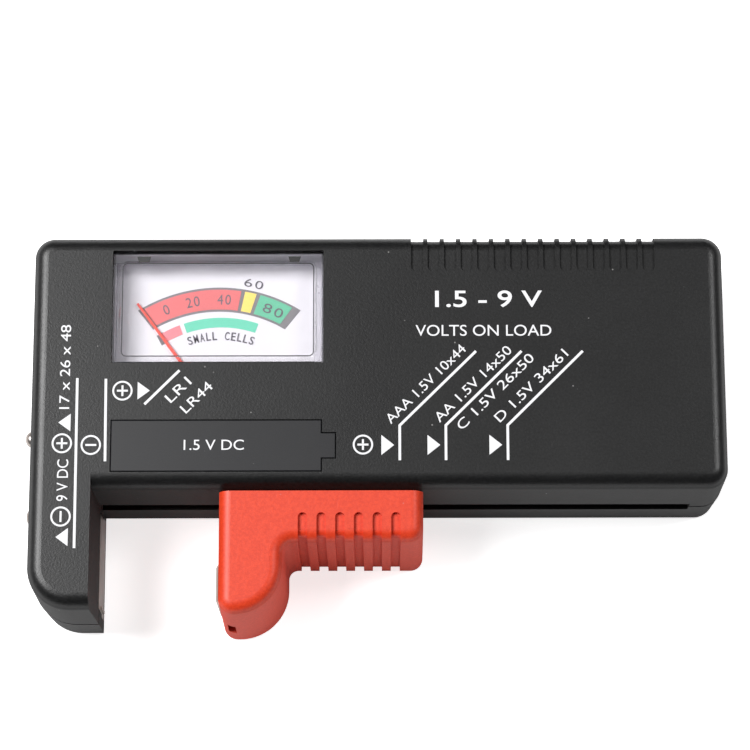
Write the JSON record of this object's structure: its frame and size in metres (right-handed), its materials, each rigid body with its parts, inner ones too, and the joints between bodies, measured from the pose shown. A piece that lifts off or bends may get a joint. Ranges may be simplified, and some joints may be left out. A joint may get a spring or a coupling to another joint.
{
  "type": "battery tester",
  "caption": "L-shaped hand-held analogue battery tester with a needle meter, end terminals and a red sliding contact arm.",
  "frame": {"origin": "centre of the main case's flat rest face, on the back of the rear shell", "axes": "+X along the long side away from the fixed arm, +Y towards the thumb grooves, +Z out of the dial"},
  "size_m": [0.1116, 0.0612, 0.025],
  "materials": {
    "black_case": "fine spark-eroded grain",
    "black_panel": "smooth satin",
    "clear_cover": "clear moulded",
    "white_tray": "moulded white",
    "printed_scale": "printed satin card",
    "soft_iron": "zinc plated",
    "magnet": "ground",
    "brass": "stamped",
    "jewel": "polished",
    "plated_screw": "zinc plated",
    "spring_bronze": "rolled",
    "nickel_contact": "nickel plated",
    "resistor_body": "lacquered",
    "black_wire": "insulated",
    "red_wire": "insulated",
    "red_grip": "satin grain",
    "black_carriage": "natural acetal",
    "red_needle": "painted",
    "aluminium_former": "rolled foil",
    "copper_winding": "enamelled wire"
  },
  "bodies": {
    "housing": {"front_shell": "black_case", "rear_shell": "black_case", "insert_panel": "black_panel", "meter_window": "clear_cover", "meter_case": "white_tray", "dial_plate": "printed_scale", "meter_yoke": "soft_iron", "meter_core": "magnet", "core_spacers": "brass", "front_bearing": "jewel", "rear_bearing": "jewel", "front_bridge": "soft_iron", "rear_bridge": "soft_iron", "bridge_pillars": "brass", "bridge_screws": "plated_screw", "zero_arm": "brass", "front_hairspring": "spring_bronze", "rear_hairspring": "spring_bronze", "meter_terminals": "brass", "fixed_contact": "nickel_contact", "contact_9v_positive": "nickel_contact", "contact_9v_negative": "nickel_contact", "runner_strip": "brass", "housing_screws": "plated_screw", "load_resistor": "resistor_body", "cell_resistor": "resistor_body", "nine_volt_resistor": "resistor_body", "fixed_contact_wire": "black_wire", "nine_volt_negative_wire": "black_wire", "nine_volt_positive_wire": "red_wire"},
    "slider": {"slider_grip": "red_grip", "slider_contact": "nickel_contact", "slider_carriage": "black_carriage", "slider_wiper": "spring_bronze", "slider_screws": "plated_screw"},
    "movement": {"needle": "red_needle", "needle_hub": "brass", "balance_weights": "brass", "front_pivot": "plated_screw", "rear_pivot": "plated_screw", "coil_former": "aluminium_former", "coil_winding": "copper_winding"}
  },
  "joints": [
    {"name": "slider_slide", "type": "slide", "parent": "housing", "child": "slider", "axis": [1, 0, 0], "range_m": [-0.0182, 0.0425]},
    {"name": "needle_swing", "type": "hinge", "parent": "housing", "child": "movement", "pos_m": [-0.0254, -0.00745, 0], "axis": [0, 0, -1], "range_deg": [0, 75], "stiffness_Nm_per_rad": 0.000002, "deforming": ["front_hairspring", "rear_hairspring"]}
  ]
}
